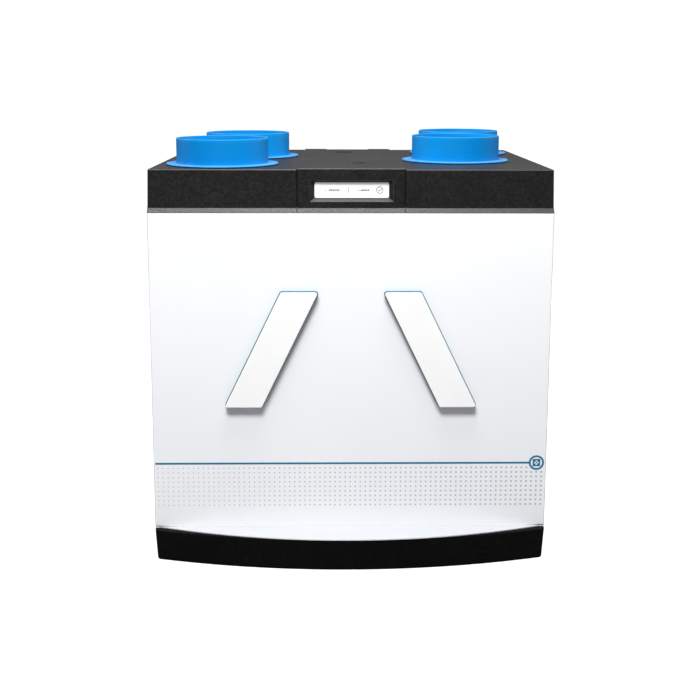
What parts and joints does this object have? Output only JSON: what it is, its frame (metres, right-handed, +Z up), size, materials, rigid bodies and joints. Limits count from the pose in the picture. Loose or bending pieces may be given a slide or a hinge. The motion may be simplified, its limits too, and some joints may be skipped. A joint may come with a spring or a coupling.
{
  "type": "heat recovery unit",
  "caption": "Wall-hung home ventilation unit with heat recovery: black foam top and bowed base, white front with leaning filter handles, round blue duct collars on top.",
  "frame": {"origin": "centre of the bounding box in plan, on the surface that the base stands on", "axes": "+Z up, -Y towards the front with the handles, +X to the right as seen from the front"},
  "size_m": [0.764, 0.641, 0.8185],
  "materials": {
    "foam_black": "moulded bead foam",
    "foam_inner": "moulded bead foam",
    "panel_white": "powder coated, fine texture",
    "galvanised_steel": "zinc spangle",
    "screw_steel": "bright zinc",
    "collar_blue": "moulded, satin",
    "rubber_black": "matt",
    "handle_white": "satin",
    "rim_blue": "satin",
    "display_white": "gloss",
    "cassette_plastic": "moulded",
    "filter_fleece": "non-woven fleece",
    "exchanger_plastic": "translucent sheet",
    "fan_plastic": "glass-filled nylon",
    "motor_metal": "die cast",
    "pan_plastic": "moulded",
    "board_green": "solder resist",
    "component_dark": "moulded"
  },
  "bodies": {
    "root": {"base_tray": "foam_black", "top_block_left": "foam_black", "top_block_right": "foam_black", "control_cover": "foam_black", "foam_front_cover": "foam_inner", "foam_back_wall": "foam_inner", "foam_core_left": "foam_inner", "foam_core_right": "foam_inner", "foam_core_centre": "foam_inner", "bypass_housing": "foam_inner", "front_panel": "panel_white", "side_panel_left": "panel_white", "side_panel_right": "panel_white", "back_panel": "galvanised_steel", "hanger_rail": "galvanised_steel", "wall_bracket": "galvanised_steel", "casing_screws": "screw_steel", "fan_screws": "screw_steel", "duct_collar_front_left": "collar_blue", "duct_collar_rear_left": "collar_blue", "duct_collar_front_right": "collar_blue", "duct_collar_rear_right": "collar_blue", "collar_gaskets": "rubber_black", "exchanger_seals": "rubber_black", "fan_gaskets": "rubber_black", "cable_grommet_large": "rubber_black", "cable_grommet_small": "rubber_black", "display_window": "display_white", "exchanger_plates": "exchanger_plastic", "exchanger_end_plates": "exchanger_plastic", "fan_scroll_left": "fan_plastic", "fan_scroll_right": "fan_plastic", "fan_inlet_ring_left": "fan_plastic", "fan_inlet_ring_right": "fan_plastic", "fan_motor_left": "motor_metal", "fan_motor_right": "motor_metal", "condensate_pan": "pan_plastic", "drain_spigot": "pan_plastic", "drain_nut": "pan_plastic", "control_tray": "pan_plastic", "bypass_motor": "pan_plastic", "main_board": "board_green", "display_board": "board_green", "board_components": "component_dark", "temperature_sensors": "component_dark"},
    "filter_left": {"filter_frame_left": "cassette_plastic", "filter_media_left": "filter_fleece", "filter_rim_left": "rim_blue", "filter_handle_left": "handle_white"},
    "filter_right": {"filter_frame_right": "cassette_plastic", "filter_media_right": "filter_fleece", "filter_rim_right": "rim_blue", "filter_handle_right": "handle_white"},
    "fan_left": {"fan_impeller_left": "fan_plastic"},
    "fan_right": {"fan_impeller_right": "fan_plastic"},
    "flap": {"bypass_flap": "pan_plastic"},
    "button": {"reset_button": "display_white"}
  },
  "joints": [
    {"name": "filter_left_slide", "type": "slide", "parent": "root", "child": "filter_left", "axis": [0, -1, 0], "range_m": [0, 0.46]},
    {"name": "filter_right_slide", "type": "slide", "parent": "root", "child": "filter_right", "axis": [0, -1, 0], "range_m": [0, 0.46]},
    {"name": "fan_left_spin", "type": "hinge", "parent": "root", "child": "fan_left", "pos_m": [-0.238, -0.143, 0.186], "axis": [0, 1, 0], "continuous": true},
    {"name": "fan_right_spin", "type": "hinge", "parent": "root", "child": "fan_right", "pos_m": [0.238, 0.217, 0.186], "axis": [0, 1, 0], "continuous": true},
    {"name": "bypass_flap_turn", "type": "hinge", "parent": "root", "child": "flap", "pos_m": [-0.066, 0.2785, 0.4015], "axis": [0, 1, 0], "range_deg": [0, 90]},
    {"name": "reset_button_press", "type": "slide", "parent": "root", "child": "button", "axis": [0, 1, 0], "range_m": [0, 0.0008], "stiffness_N_per_m": 500}
  ]
}
